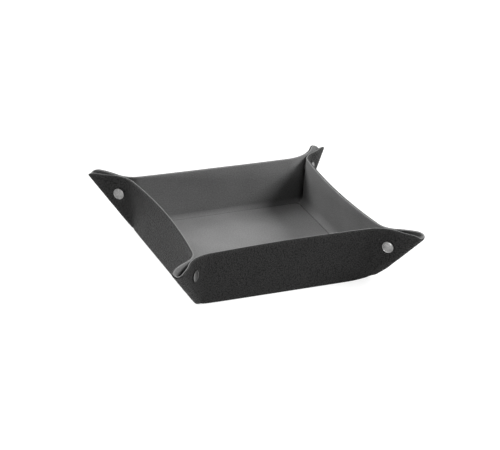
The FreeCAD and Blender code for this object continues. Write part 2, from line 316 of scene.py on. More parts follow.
@dataclass(frozen=True)
class FoldRule:
    """Gives the place of any point of the folded sheet, on the half of a wall that ends in one corner.

    A rise is a height above the crease along the sheet. A flat distance is one on the sheet laid out.
    The steps up and on are those that a normal is taken over.
    """

    sizes: SheetSizes
    snap: SnapSizes
    hand: HandFold
    step_up: float = 0.0005
    step_on: float = 0.004
    least_radius: float = 0.0001
    rim_samples: int = 400
    seam_most: float = 0.9
    turn_most: float = 1.2

    @property
    def snap_on(self) -> float:
        """The snap's distance along the diagonal."""
        return ROOT_TWO * self.sizes.half_base + self.snap.along

    @property
    def snap_up(self) -> float:
        """The snap's height."""
        return self.sizes.half + self.snap.rise * math.cos(self.sizes.wall_flare)

    def shape(self, rise: Array) -> FoldShape:
        """Works out the plan at some rises.

        The wall's end and the flank's radius follow from two conditions: the plan is as long as the flat
        sheet, and its end lies on the diagonal.

        Args:
            rise: the rises.

        Returns:
            The plan's lengths, radii and headings.
        """
        sizes = self.sizes
        share = rise / sizes.wall_height
        pinched = np.clip(share / sizes.pinch_share, 0.0, 1.0)
        opening = ease(sizes.open_low, sizes.open_top, smooth_step(pinched))
        closing = ease(sizes.close_low, sizes.close_top, smooth_step(pinched))
        even_bend = ease(sizes.bend_low, sizes.bend_top, share ** sizes.bend_power)
        bend = even_bend * ease(1.0, self.hand.bend, share)
        fold = ease(sizes.fold_low, sizes.fold_top, share)
        out = sizes.half_base + rise * math.sin(sizes.wall_flare)
        lean = self.hand.bow * share ** sizes.bow_power
        start = EIGHTH_TURN - 2 * lean / sizes.half_base
        bent = start + opening
        slack = sizes.slack * 4 * pinched * (1 - pinched)
        total = sizes.half_base + rise - slack - self.hand.corner.reach * share
        total = total - (bend - even_bend) * (2 * np.tan(bent / 2) - bent)
        drop = np.cos(closing) - np.cos(opening)
        turn = opening + closing
        gap = fold * np.cos(closing) - out * ROOT_HALF - bend * (np.cos(start) - np.cos(opening))
        spare = total - bend * bent - fold * (QUARTER_TURN - closing)
        scale = ROOT_HALF * turn + drop
        wall_end = (drop * spare - gap * turn) / scale
        flank = np.maximum((ROOT_HALF * spare + gap) / scale, self.least_radius)
        return FoldShape(out, lean, start, opening, closing, bend, flank, fold, wall_end, total)

    def plan(self, column: Column, rise: Array) -> tuple[Array, Array, Array]:
        """Points of the sheet's middle before the foot and the snap shape it.

        Args:
            column: the column that they are on.
            rise: their rises.

        Returns:
            Their distances along the wall, outwards, and on the flat sheet from the wall's middle.
        """
        shape = self.shape(rise)
        scale = (self.sizes.half_base + rise) / shape.total
        if column.zone is Zone.WALL:
            along = column.share * shape.wall_end
            return along, shape.out - shape.lean * (1 - column.share * column.share), along * scale
        heading = shape.opening
        if column.zone is Zone.BEND:
            heading = ease(-shape.start, shape.opening, column.share)
        on, off = to_diagonal(shape.wall_end, shape.out)
        on = on + shape.bend * (np.sin(heading) + np.sin(shape.start))
        off = off + shape.bend * (np.cos(shape.start) - np.cos(heading))
        flat = shape.wall_end + shape.bend * (heading + shape.start)
        if column.zone is not Zone.BEND:
            back = self.length_back(shape, column)
            on, off = self.tail(shape, back, on, off)
            flat = shape.total - back
        return *from_diagonal(on, off), flat * scale

    def length_back(self, shape: FoldShape, column: Column) -> Array:
        """The sheet's length from the diagonal back to a column of the flank or the fold.

        Args:
            shape: the plan.
            column: the column. The fold's stretch starts a little before its hinge.

        Returns:
            The length at each rise of the plan.
        """
        full = shape.fold * (QUARTER_TURN - shape.closing) + shape.flank * (shape.opening + shape.closing)
        seam = np.minimum(shape.fold * self.sizes.fold_turn + self.sizes.fold_lead, self.seam_most * full)
        if column.zone is Zone.FLANK:
            return ease(full, seam, column.share)
        return seam * (1 - column.share)

    def tail(self, shape: FoldShape, back: Array, on: Array, off: Array) -> tuple[Array, Array]:
        """Points of the flank or the fold.

        Args:
            shape: the plan.
            back: their lengths back from the diagonal.
            on: where the bend ends, along the diagonal.
            off: where the bend ends, off the diagonal.

        Returns:
            Their distances along the diagonal and off it.
        """
        turned = shape.fold * (QUARTER_TURN - shape.closing)
        heading = np.maximum(back - turned, 0.0) / shape.flank - shape.closing
        flank_on = on + shape.flank * (np.sin(shape.opening) - np.sin(heading))
        flank_off = off + shape.flank * (np.cos(heading) - np.cos(shape.opening))
        heading = np.minimum(back, turned) / shape.fold - QUARTER_TURN
        fold_on = flank_on - shape.fold * (np.sin(shape.closing) + np.sin(heading))
        fold_off = flank_off + shape.fold * (np.cos(heading) - np.cos(shape.closing))
        in_flank = back > turned
        return np.where(in_flank, flank_on, fold_on), np.where(in_flank, flank_off, fold_off)

    def ring(self, flat: Array, rise: Array, offset: float) -> tuple[Array, Array]:
        """The rounded outline of the base that the sheet's foot runs in to.

        Args:
            flat: flat distances from the wall's middle.
            rise: the rises there.
            offset: distance outwards from the outline.

        Returns:
            Distances along the wall and outwards.
        """
        rounding = self.hand.corner.foot_round
        straight = self.sizes.half_base - rounding
        turn = np.clip((flat - straight) / (rounding + rise), 0.0, self.turn_most) * EIGHTH_TURN
        along = np.minimum(flat, straight) + (rounding + offset) * np.sin(turn)
        return along, straight + (rounding + offset) * np.cos(turn)

    def foot(self, rise: Array) -> Array:
        """How much of the folded plan the foot has, which makes the keel a round run up from the table.

        Args:
            rise: the rises.

        Returns:
            Shares from 0 on the base's outline to 1 above the foot.
        """
        rounding = self.hand.corner.foot_round
        held = np.maximum(rise, 0.0)
        run = np.sqrt(np.maximum(2 * rounding * held - held * held, 0.0))
        share = run / ((ROOT_TWO - 1) * rounding + held)
        return np.where(held < rounding * (1 - math.cos(EIGHTH_TURN)), share, 1.0)

    def corner_lift(self, along: Array, out: Array) -> Array:
        """How far the base's corner stands off the table.

        Args:
            along: distances along the wall, or x.
            out: distances outwards, or y.

        Returns:
            The heights.
        """
        corner = self.hand.corner
        tip = ROOT_TWO * self.sizes.half_base - (ROOT_TWO - 1) * corner.foot_round
        reach = (np.abs(along) + np.abs(out)) * ROOT_HALF
        return corner.foot_lift * np.clip(1.0 + (reach - tip) / self.sizes.foot_reach, 0.0, 1.0) ** 2

    def pressed(self, along: Array, out: Array, up: Array) -> tuple[Array, Array]:
        """Draws the flap flat under the snap's cap.

        Args:
            along: distances along the wall.
            out: distances outwards.
            up: heights above the table.

        Returns:
            The changed distances along and out.
        """
        on, off = to_diagonal(along, out)
        away = np.hypot(on - self.snap_on, up - self.snap_up)
        span = self.snap.dimple_radius - self.snap.flat_radius
        shift = (self.snap.seat - off) * smooth_step(1.0 - (away - self.snap.flat_radius) / span)
        return along - shift * ROOT_HALF, out + shift * ROOT_HALF

    def middle(self, column: Column, rise: Array) -> tuple[Array, Array]:
        """Points of the sheet's middle.

        Args:
            column: the column that they are on.
            rise: their rises.

        Returns:
            Rows of (along, out, up), and rows of flat coordinates.
        """
        sizes, hand = self.sizes, self.hand
        along, out, flat = self.plan(column, rise)
        up = sizes.half + rise * math.cos(sizes.wall_flare)
        if column.zone is not Zone.WALL:
            along, out = self.pressed(along, out, up)
        ring_along, ring_out = self.ring(flat, rise, 0.0)
        part = self.foot(rise)
        up = up + self.corner_lift(ring_along, ring_out) * (1 - smooth_step(rise / sizes.lift_fade))
        near_corner = np.clip(flat / (sizes.half_base + rise), 0.0, 1.0)
        up = up + ease(hand.rim_lift, hand.corner.lift, near_corner) * rise / sizes.wall_height
        points = np.stack([ease(ring_along, along, part), ease(ring_out, out, part), up], -1)
        return points, np.stack([flat, sizes.half_base + rise], -1)

    def normal(self, column: Column, rise: Array) -> Array:
        """The direction out of the leather's face.

        Args:
            column: the column.
            rise: the rises.

        Returns:
            Rows of (along, out, up), each of length 1.
        """
        upper = self.middle(column, rise + self.step_up)[0]
        lower = self.middle(column, np.maximum(rise - self.step_up, 0.0))[0]
        before = self.middle(column.moved(-self.step_on), rise)[0]
        after = self.middle(column.moved(self.step_on), rise)[0]
        across = np.cross(upper - lower, after - before)
        return across / np.linalg.norm(across, axis=-1, keepdims=True)

    def place(self, column: Column, rise: Array, offset: Array) -> tuple[Array, Array]:
        """Points of the folded sheet, off its middle.

        Args:
            column: the column that they are on.
            rise: their rises.
            offset: their distances from the sheet's middle, to the leather side.

        Returns:
            Rows of (along, out, up), and rows of flat coordinates.
        """
        points, flat = self.middle(column, rise)
        return points + self.normal(column, rise) * offset[..., None], flat

    def top(self, column: Column) -> float:
        """The rise of the sheet's cut edge, with the sheet's rounded corner taken off.

        Args:
            column: the column.

        Returns:
            The highest rise that is still inside the sheet.
        """
        sizes = self.sizes
        foot = sizes.wall_height - sizes.corner_radius
        rises = np.linspace(foot, sizes.wall_height, self.rim_samples)
        past = np.maximum(self.plan(column, rises)[2] - sizes.half_base - foot, 0.0)
        excess = np.hypot(past, rises - foot) - sizes.corner_radius
        outside = np.flatnonzero(excess > 0.0)
        if len(outside) == 0:
            return sizes.wall_height
        if outside[0] == 0:
            return foot
        last = outside[0] - 1
        share_past = -excess[last] / (excess[last + 1] - excess[last])
        return float(rises[last] + share_past * (rises[1] - rises[0]))


@dataclass(frozen=True)
class HalfWall:
    """One half of one wall, with the corner that it runs to. Side 1 is the end towards the next wall."""

    wall: Wall
    side: int

    @property
    def flap(self) -> str:
        """The body of the flap at this end."""
        return f"{self.wall.label}_flap_{self.wall.neighbour(self.side).label}"

    @property
    def fold(self) -> str:
        """The body of the fold half at this end."""
        return f"{self.wall.label}_fold_{self.wall.neighbour(self.side).label}"

    @property
    def corner(self) -> str:
        """The corner's name in the frame, first wall first."""
        first = self.wall if self.side > 0 else self.wall.neighbour(-1)
        return f"{first.label}_{first.neighbour(1).label}"

    @property
    def across(self) -> HalfWall:
        """The half wall on the other side of the corner."""
        return HalfWall(self.wall.neighbour(self.side), -self.side)

    def turned(self, along: Array, out: Array) -> tuple[Array, Array]:
        """Turns distances on this half into the tray's plan.

        Args:
            along: distances along the wall.
            out: distances outwards.

        Returns:
            The tray's x and y.
        """
        x, y = along * self.side, -out
        for _ in range(self.wall.value):
            x, y = -y, x
        return x, y

    def world(self, points: Array) -> Array:
        """Turns rows of (along, out, up) into the tray's frame."""
        x, y = self.turned(points[..., 0], points[..., 1])
        return np.stack([x, y, points[..., 2]], -1)

    def flat(self, points: Array) -> Array:
        """Turns rows of flat coordinates into the whole sheet's."""
        return np.stack(self.turned(points[..., 0], points[..., 1]), -1)


class Folding:
    """The folding rule of every half wall, each with its own hand-made unevenness."""

    BOWS = {Wall.FRONT: 0.0015, Wall.RIGHT: 0.0042, Wall.BACK: 0.0010, Wall.LEFT: 0.0042}
    BENDS = {"front_flap_right": 1.25, "front_flap_left": 1.3, "back_flap_right": 1.7, "left_flap_back": 1.25}
    CORNERS = {"front_right": Corner(0.0010, 0.0009, 0.008, 0.0018),
               "right_back": Corner(0.0025, -0.0026, 0.006, 0.0008),
               "back_left": Corner(0.0, 0.0010, 0.005, 0.0004),
               "left_front": Corner(0.0020, -0.0010, 0.007, 0.0003)}
    RIM_LIFTS = {Wall.FRONT: 0.0009, Wall.RIGHT: -0.0008, Wall.BACK: -0.0004, Wall.LEFT: 0.0010}
    EVEN_BEND = 1.0

    def __init__(self, sizes: SheetSizes, snap: SnapSizes) -> None:
        """Makes the rules.

        Args:
            sizes: the sheet's sizes.
            snap: the snap's sizes.
        """
        self.sizes = sizes
        self.snap = snap
        self.halves = [HalfWall(wall, side) for wall in Wall for side in (-1, 1)]
        self.rules = {half: FoldRule(sizes, snap, self.hand(half)) for half in self.halves}

    def hand(self, half: HalfWall) -> HandFold:
        """The unevenness of one half wall."""
        bend = self.BENDS.get(half.flap, self.EVEN_BEND)
        return HandFold(self.BOWS[half.wall], bend, self.RIM_LIFTS[half.wall], self.CORNERS[half.corner])


# Meshes
@dataclass(frozen=True)
class Divisions:
    """How finely each stretch of the sheet is divided, and how many rows go from foot to rim."""

    wall: int = 26
    bend: int = 20
    flank: int = 22
    fold: int = 16
    rows: int = 34

    def columns(self, *zones: Zone) -> list[Column]:
        """The columns through some stretches in order, with no column twice.

        Args:
            zones: the stretches.

        Returns:
            The columns.
        """
        counts = {Zone.WALL: self.wall, Zone.BEND: self.bend, Zone.FLANK: self.flank, Zone.FOLD: self.fold}
        columns: list[Column] = []
        for zone in zones:
            shares = np.linspace(0.0, 1.0, counts[zone])
            columns += [Column(zone, float(share)) for share in (shares[1:] if columns else shares)]
        return columns

    def whole_wall(self, wall: Wall, *zones: Zone) -> list[tuple[HalfWall, Column]]:
        """The columns from one end of a wall to the other.

        Args:
            wall: the wall.
            zones: the stretches on each half, from its middle outwards.

        Returns:
            The columns, each with the half wall that it is on.
        """
        columns = self.columns(*zones)
        first, second = HalfWall(wall, -1), HalfWall(wall, 1)
        return [(first, column) for column in columns[::-1]] + [(second, column) for column in columns[1:]]


class Draft:
    """Collects points, faces and finishes, and makes them one object with its place in its mesh."""

    SHARP_TURN = math.radians(35.0)

    def __init__(self, name: str) -> None:
        """Starts an empty piece.

        Args:
            name: the piece's name.
        """
        self.name = name
        self.points: list[Array] = []
        self.flats: list[Array] = []
        self.wears: list[Array] = []
        self.faces: list[tuple[int, ...]] = []
        self.slots: list[int] = []
        self.count = 0

    def add_points(self, points: Array, flats: Array, wear: Amount = 0.0) -> int:
        """Adds points.

        Args:
            points: rows of x, y, z.
            flats: rows of flat sheet coordinates.
            wear: how near each is to a worn edge, 0 to 1, and 1 on the floor's pressed line, which marks
                painted shade.

        Returns:
            The index of the first one.
        """
        start = self.count
        self.points.append(points)
        self.flats.append(flats)
        self.wears.append(np.broadcast_to(wear, len(points)))
        self.count += len(points)
        return start

    def add_face(self, corners: tuple[int, ...], slot: int = 0) -> None:
        """Adds one face with the finish in that slot."""
        self.faces.append(corners)
        self.slots.append(slot)

    def stitch(self, starts: list[int], slots: list[int]) -> None:
        """Joins closed rings of points, each to the next.

        Args:
            starts: the index of each ring's first point.
            slots: the finish of each step round the rings.
        """
        for start, after in zip(starts, starts[1:]):
            for step, slot in enumerate(slots):
                following = (step + 1) % len(slots)
                self.add_face((start + step, after + step, after + following, start + following), slot)

    def close_rings(self, starts: list[int], count: int, ends: tuple[Triple, Triple]) -> None:
        """Joins rings of points into a closed shell with a point in the middle of each end.

        Args:
            starts: the index of each ring's first point.
            count: how many points each ring has.
            ends: the middle points at the first and the last ring.
        """
        self.stitch(starts, [0] * count)
        for start, end, way in zip((starts[0], starts[-1]), ends, (1, -1)):
            centre = self.add_points(np.array([end]), np.zeros((1, 2)))
            for step in range(count):
                self.add_face((start + step, start + (step + 1) % count, centre)[::way])

    def outward(self) -> None:
        """Turns every face round if the closed shell is inside out."""
        points = np.concatenate(self.points)
        thirds = np.array([(face[0], second, third) for face in self.faces
                           for second, third in zip(face[1:], face[2:])])
        first, second, third = (points[thirds[:, corner]] for corner in range(3))
        if float(np.einsum("ij,ij->", first, np.cross(second, third))) < 0:
            self.faces = [face[::-1] for face in self.faces]

    def finish(self, *materials: Material) -> Piece:
        """Makes the object.

        Args:
            materials: one for each slot.

        Returns:
            The new object.
        """
        self.outward()
        mesh = bpy.data.meshes.new(self.name)
        mesh.from_pydata([tuple(point) for point in np.concatenate(self.points)], [], self.faces)
        for material in materials:
            mesh.materials.append(material)
        mesh.polygons.foreach_set("material_index", self.slots)
        mesh.polygons.foreach_set("use_smooth", [True] * len(self.faces))
        corners = np.zeros(len(mesh.loops), dtype=np.int32)
        mesh.loops.foreach_get("vertex_index", corners)
        flats = np.concatenate(self.flats)
        layer = mesh.uv_layers.new(name=FLAT_MAP)
        layer.data.foreach_set("uv", flats[corners].astype(np.float32).ravel())
        wear = mesh.attributes.new(WEAR_AND_SHADE_MAP, "FLOAT", "POINT")
        wear.data.foreach_set("value", np.concatenate(self.wears).astype(np.float32))
        mesh.set_sharp_from_angle(angle=self.SHARP_TURN)
        mesh.update()
        piece = bpy.data.objects.new(self.name, mesh)
        bpy.context.scene.collection.objects.link(piece)
        return piece


@dataclass(frozen=True)
class Profile:
    """A closed section through one layer: rows up its outer face, the cut edge, and rows down its inner face.

    The edge's worn corner is on the outer face, or else on the inner one.
    """

    outer: float
    inner: float
    rows: int
    worn_outside: bool
    rim_steps: int = 4
    row_power: float = 1.35

    def samples(self, top: float, rim_round: float) -> tuple[Array, Array]:
        """Rises and offsets round the section.

        Args:
            top: the rise of the cut edge.
            rim_round: radius of the edge's worn corner.

        Returns:
            The rises and the offsets, as two arrays of the same length.
        """
        rows = np.linspace(0.0, 1.0, self.rows) ** self.row_power * (top - rim_round)
        angles = np.linspace(0.0, QUARTER_TURN, self.rim_steps + 1)[1:]
        lift = top - rim_round + rim_round * np.sin(angles)
        way = 1 if self.worn_outside else -1
        worn, crisp = (self.outer, self.inner)[::way]
        drawn = worn - way * rim_round * (1 - np.cos(angles))
        rises = np.concatenate([rows, lift, [top], rows[::-1]])
        offsets = np.concatenate([np.full(self.rows, worn), drawn, [crisp], np.full(self.rows, crisp)])
        return rises[::way], offsets[::way]

    def slots(self) -> list[int]:
        """The finish of each step round the section.

        Returns:
            0 for steps on the faces and 1 for steps on the cut edge.
        """
        steps = 2 * self.rows + self.rim_steps + 1
        first = self.rows + int(self.worn_outside)
        return [int(first <= step < first + self.rim_steps - 1) for step in range(steps)]


class SheetPanel:
    """One panel of one layer, as a closed shell between two columns of the sheet."""

    WEAR_REACH = 0.005

    def __init__(self, folding: Folding, layer: Layer, name: str, rows: int) -> None:
        """Starts an empty panel.

        Args:
            folding: the folding rules.
            layer: the layer.
            name: what the panel is a piece of, after the layer's name.
            rows: rows from foot to rim.
        """
        self.folding = folding
        self.layer = layer
        self.profile = Profile(*folding.sizes.faces(layer), rows, layer is Layer.LEATHER)
        self.draft = Draft(f"{layer.value}_{name}_panel")
        self.starts: list[int] = []

    def add_column(self, half: HalfWall, column: Column, thin: float = 0.0) -> None:
        """Adds one section.

        Args:
            half: the half wall that it is on.
            column: the column.
            thin: the share of its thickness that is pared away, for a lap.
        """
        rule = self.folding.rules[half]
        top = rule.top(column) - thin * rule.sizes.leather
        rises, offsets = self.profile.samples(top, rule.sizes.rim_round)
        offsets = offsets + thin * ((self.profile.outer + self.profile.inner) / 2 - offsets)
        points, flats = rule.place(column, rises, offsets)
        worn = self.layer is Layer.LEATHER
        wear = np.clip(1.0 - (top - rises) / self.WEAR_REACH, 0.0, 1.0) if worn else 0.0
        self.starts.append(self.draft.add_points(half.world(points), half.flat(flats), wear))

    def close(self) -> None:
        """Joins the sections and closes both ends."""
        slots, rows = self.profile.slots(), self.profile.rows
        self.draft.stitch(self.starts, slots)
        for start, way in ((self.starts[0], 1), (self.starts[-1], -1)):
            last = start + len(slots) - 1
            for row in range(rows - 1):
                self.draft.add_face((start + row, start + row + 1, last - row - 1, last - row)[::way])
            self.draft.add_face(tuple(range(start + rows - 1, last - rows + 2))[::way])

    def finish(self, finishes: Finishes) -> Piece:
        """Makes the panel's object with its face and edge finishes."""
        self.close()
        return self.draft.finish(*finishes.pair(self.layer))


# Finishes
@dataclass(frozen=True)
class Grain:
    """A noise: features for each metre, finer octaves, and their share."""

    scale: float
    detail: float
    rough: float = 0.5


@dataclass(frozen=True)
class Tones:
    """A finish's deep and light grey, the values at which they are reached, and how warm they are."""

    deep: float
    light: float
    span: Pair
    warm: Pair = (0.0, 0.0)


def grey(level: float, warm: float = 0.0) -> Triple:
    """A grey of that level, a little warm or cold."""
    return level * (1 + warm), level, level * (1 - warm)


class NodeSketch:
    """A new material with a principled shader, and short calls to add and join nodes."""

    MIX_SHARE = 0
    MIX_FIRST = 6
    MIX_SECOND = 7
    MIX_RESULT = 2

    def __init__(self, name: str) -> None:
        """Starts the material.

        Args:
            name: the material's name.
        """
        self.material = bpy.data.materials.new(name)
        self.material.use_nodes = True
        self.tree = self.material.node_tree
        self.shader = self.tree.nodes["Principled BSDF"]

    def add(self, kind: str, settings: dict[str, str] | None = None,
            values: dict[str, float] | None = None) -> Node:
        """Adds a node.

        Args:
            kind: the node's type.
            settings: its properties.
            values: constants of its inputs, by name.

        Returns:
            The node.
        """
        node = self.tree.nodes.new(kind)
        for key, setting in (settings or {}).items():
            setattr(node, key, setting)
        for key, value in (values or {}).items():
            node.inputs[key].default_value = value
        return node

    def link(self, source: Socket, target: Socket) -> None:
        """Joins an output to an input."""
        self.tree.links.new(source, target)

    def flat(self) -> Socket:
        """The sheet's flat coordinates, in metres."""
        return self.add("ShaderNodeUVMap", {"uv_map": FLAT_MAP}).outputs["UV"]

    def place(self) -> Socket:
        """The piece's own coordinates, in metres."""
        return self.add("ShaderNodeTexCoord").outputs["Object"]

    def wear(self) -> Socket:
        """How worn the leather is near its cut edge, and the painted shade along the floor's pressed line, 0
        to 1.
        """
        return self.add("ShaderNodeAttribute", {"attribute_name": WEAR_AND_SHADE_MAP}).outputs["Fac"]

    def noise(self, vector: Socket, grain: Grain) -> Socket:
        """A noise value.

        Args:
            vector: where it is read.
            grain: its size.

        Returns:
            The value's socket.
        """
        node = self.add("ShaderNodeTexNoise", {"noise_dimensions": "3D"},
                        {"Scale": grain.scale, "Detail": grain.detail, "Roughness": grain.rough})
        self.link(vector, node.inputs["Vector"])
        return node.outputs["Fac"]

    def math(self, kind: str, first: float | Socket, second: float | Socket) -> Socket:
        """Joins two values, each a socket or a number.

        Args:
            kind: the operation.
            first: the first value.
            second: the second value.

        Returns:
            The result's socket.
        """
        node = self.add("ShaderNodeMath", {"operation": kind})
        for value, target in zip((first, second), node.inputs):
            if isinstance(value, (int, float)):
                target.default_value = value
            else:
                self.link(value, target)
        return node.outputs["Value"]

    def total(self, values: tuple[Socket, ...], shares: tuple[float, ...]) -> Socket:
        """Adds up values, each times its share.

        Args:
            values: the values' sockets.
            shares: one for each value.

        Returns:
            The sum's socket.
        """
        first, *others = (self.math("MULTIPLY", value, share) for value, share in zip(values, shares))
        for other in others:
            first = self.math("ADD", first, other)
        return first

    def tint(self, value: Socket, tones: Tones) -> Socket:
        """A grey for a value.

        Args:
            value: the value's socket.
            tones: the greys.

        Returns:
            The colour's socket.
        """
        node = self.add("ShaderNodeValToRGB")
        greys = (tones.deep, tones.light)
        for element, place, level, warm in zip(node.color_ramp.elements, tones.span, greys, tones.warm):
            element.position = place
            element.color = (*grey(level, warm), 1.0)
        self.link(value, node.inputs["Fac"])
        return node.outputs["Color"]

    def mix(self, factor: Socket, first: Socket, level: float) -> Socket:
        """Mixes a colour towards a grey.

        Args:
            factor: the share of the grey.
            first: the colour's socket.
            level: the grey's level.

        Returns:
            The mixed colour's socket.
        """
        node = self.add("ShaderNodeMix", {"data_type": "RGBA"})
        self.link(factor, node.inputs[self.MIX_SHARE])
        self.link(first, node.inputs[self.MIX_FIRST])
        node.inputs[self.MIX_SECOND].default_value = (*grey(level), 1.0)
        return node.outputs[self.MIX_RESULT]

    def remap(self, value: Socket, ends: Pair, side: Ranged = Ranged.RESULT) -> Socket:
        """Maps a unit value to a range, or from one.

        Args:
            value: the value's socket.
            ends: the range.
            side: whether the range is the result's or the value's.

        Returns:
            The result's socket.
        """
        limits = {f"{side.value} Min": ends[0], f"{side.value} Max": ends[1]}
        node = self.add("ShaderNodeMapRange", None, limits)
        self.link(value, node.inputs["Value"])
        return node.outputs["Result"]

    def bump(self, height: Socket, strength: float, distance: float) -> Socket:
        """A relief.

        Args:
            height: the height's socket.
            strength: how much of the relief shows.
            distance: how deep it is.

        Returns:
            The socket of the changed normal.
        """
        node = self.add("ShaderNodeBump", None, {"Strength": strength, "Distance": distance})
        self.link(height, node.inputs["Height"])
        return node.outputs["Normal"]

    def finish(self, colour: Socket, roughness: Socket, normal: Socket, gloss: float = 0.5,
               metallic: float = 0.0) -> Material:
        """Joins the finish to the shader.

        Args:
            colour: the colour's socket.
            roughness: the roughness's socket.
            normal: the relief's socket.
            gloss: the highlight's level.
            metallic: 1 for metal.

        Returns:
            The material.
        """
        for key, source in (("Base Color", colour), ("Roughness", roughness), ("Normal", normal)):
            self.link(source, self.shader.inputs[key])
        self.shader.inputs["Specular IOR Level"].default_value = gloss
        self.shader.inputs["Metallic"].default_value = metallic
        return self.material


@dataclass(frozen=True)
class LeatherFinish:
    """Black leather with a pebble grain that is worn a little at the cut edges."""

    tones: Tones = Tones(deep=0.007, light=0.028, span=(0.30, 0.90), warm=(0.0, 0.01))
    worn: float = 0.035
    wear_power: float = 3.0
    wear_share: float = 0.7
    pebbles: float = 760.0
    pebble_soft: float = 0.55
    pebble_random: float = 0.95
    pores: Grain = Grain(2600.0, 3.0)
    folds: Grain = Grain(240.0, 4.0, 0.6)
    cloud: Grain = Grain(45.0, 5.0, 0.6)
    height_shares: Triple = (0.62, 0.10, 0.40)
    tone_shares: Pair = (0.3, 0.7)
    roughness: Pair = (0.62, 0.42)
    relief: Pair = (1.0, 0.0009)
    gloss: float = 0.10

    def material(self) -> Material:
        """Builds the material.

        Returns:
            The material.
        """
        sketch = NodeSketch("leather")
        flat = sketch.flat()
        cells = sketch.add("ShaderNodeTexVoronoi", {"feature": "SMOOTH_F1", "voronoi_dimensions": "2D"},
                           {"Scale": self.pebbles, "Smoothness": self.pebble_soft,
                            "Randomness": self.pebble_random})
        sketch.link(flat, cells.inputs["Vector"])
        dome = sketch.math("SUBTRACT", 1.0, cells.outputs["Distance"])
        folds = sketch.noise(flat, self.folds)
        height = sketch.total((dome, sketch.noise(flat, self.pores), folds), self.height_shares)
        tone = sketch.total((sketch.noise(flat, self.cloud), dome), self.tone_shares)
        wear = sketch.math("MULTIPLY", sketch.math("POWER", sketch.wear(), self.wear_power),
                           sketch.math("MULTIPLY", folds, self.wear_share))
        colour = sketch.mix(wear, sketch.tint(tone, self.tones), self.worn)
        normal = sketch.bump(height, *self.relief)
        return sketch.finish(colour, sketch.remap(tone, self.roughness), normal, self.gloss)


@dataclass(frozen=True)
class LiningFinish:
    """Smooth grey lining with a short nap. Along the line pressed into the floor it is mixed towards near
    black: partly the pressed nap's own darker tone, mostly painted shade of the groove.
    """

    tones: Tones = Tones(deep=0.115, light=0.215, span=(0.235, 0.515))
    # Near-black grey of the painted shade along the floor's pressed line, darker than the pressed nap alone.
    pressed: float = 0.02
    nap: Grain = Grain(950.0, 4.0, 0.65)
    cloud: Grain = Grain(28.0, 4.0, 0.55)
    tone_shares: Pair = (0.55, 0.2)
    roughness: Pair = (0.62, 0.8)
    relief: Pair = (0.35, 0.0001)
    gloss: float = 0.15

    def material(self) -> Material:
        """Builds the material.

        Returns:
            The material.
        """
        sketch = NodeSketch("lining")
        flat = sketch.flat()
        fibres = sketch.noise(flat, self.nap)
        tone = sketch.total((fibres, sketch.noise(flat, self.cloud)), self.tone_shares)
        # Painted shade: the lining is mixed towards near black where the attribute marks the floor's pressed
        # line.
        colour = sketch.mix(sketch.wear(), sketch.tint(tone, self.tones), self.pressed)
        normal = sketch.bump(fibres, *self.relief)
        return sketch.finish(colour, sketch.remap(fibres, self.roughness), normal, self.gloss)


@dataclass(frozen=True)
class CutEdgeFinish:
    """The cut edge of a layer, with fibres."""

    name: str
    tones: Tones
    gloss: float
    fibres: Grain = Grain(1900.0, 4.0, 0.7)
    patches: Grain = Grain(120.0, 3.0)
    tone_shares: Pair = (0.6, 0.4)
    roughness: Pair = (0.32, 0.48)
    relief: Pair = (0.25, 0.00008)

    def material(self) -> Material:
        """Builds the material.

        Returns:
            The material.
        """
        sketch = NodeSketch(self.name)
        place = sketch.place()
        fibres = sketch.noise(place, self.fibres)
        patches = sketch.noise(place, self.patches)
        colour = sketch.tint(sketch.total((fibres, patches), self.tone_shares), self.tones)
        normal = sketch.bump(fibres, *self.relief)
        return sketch.finish(colour, sketch.remap(patches, self.roughness), normal, self.gloss)


@dataclass(frozen=True)
class MetalFinish:
    """Satin nickel turned in rings and marked by handling, with painted shade: near black towards the rim,
    for the shadow of the gap round the cap.
    """

    tones: Tones = Tones(deep=0.10, light=0.33, span=(0.3, 0.7), warm=(0.0, 0.01))
    # Near black painted towards the cap's rim as the shadow of the gap round it.
    black: float = 0.012
    black_span: Pair = (0.90, 0.95)
    radius: float = SnapSizes.radius
    marks: Grain = Grain(900.0, 5.0, 0.7)
    patches: Grain = Grain(420.0, 3.0)
    rings: float = 1500.0
    ring_waver: float = 1.5
    ring_detail: float = 2.0
    tone_shares: Triple = (0.35, 0.45, 0.2)
    roughness: Pair = (0.42, 0.24)
    relief: Pair = (0.25, 0.00005)

    def material(self) -> Material:
        """Builds the material.

        Returns:
            The material.
        """
        sketch = NodeSketch("snap_metal")
        place, flat = sketch.place(), sketch.flat()
        turning = sketch.add("ShaderNodeTexWave", {"wave_type": "RINGS", "rings_direction": "SPHERICAL"},
                             {"Scale": self.rings, "Distortion": self.ring_waver, "Detail": self.ring_detail})
        sketch.link(flat, turning.inputs["Vector"])
        marks, patches = sketch.noise(place, self.marks), sketch.noise(place, self.patches)
        tone = sketch.total((marks, patches, turning.outputs["Fac"]), self.tone_shares)
        # Painted shade: the cap turns near black towards its rim, for the shadow of the gap round it.
        reach = sketch.add("ShaderNodeVectorMath", {"operation": "LENGTH"})
        sketch.link(flat, reach.inputs[0])
        edge = sketch.math("DIVIDE", reach.outputs["Value"], self.radius)
        edge = sketch.remap(edge, self.black_span, Ranged.VALUE)
        colour = sketch.mix(edge, sketch.tint(tone, self.tones), self.black)
        normal = sketch.bump(tone, *self.relief)
        return sketch.finish(colour, sketch.remap(tone, self.roughness), normal, metallic=1.0)


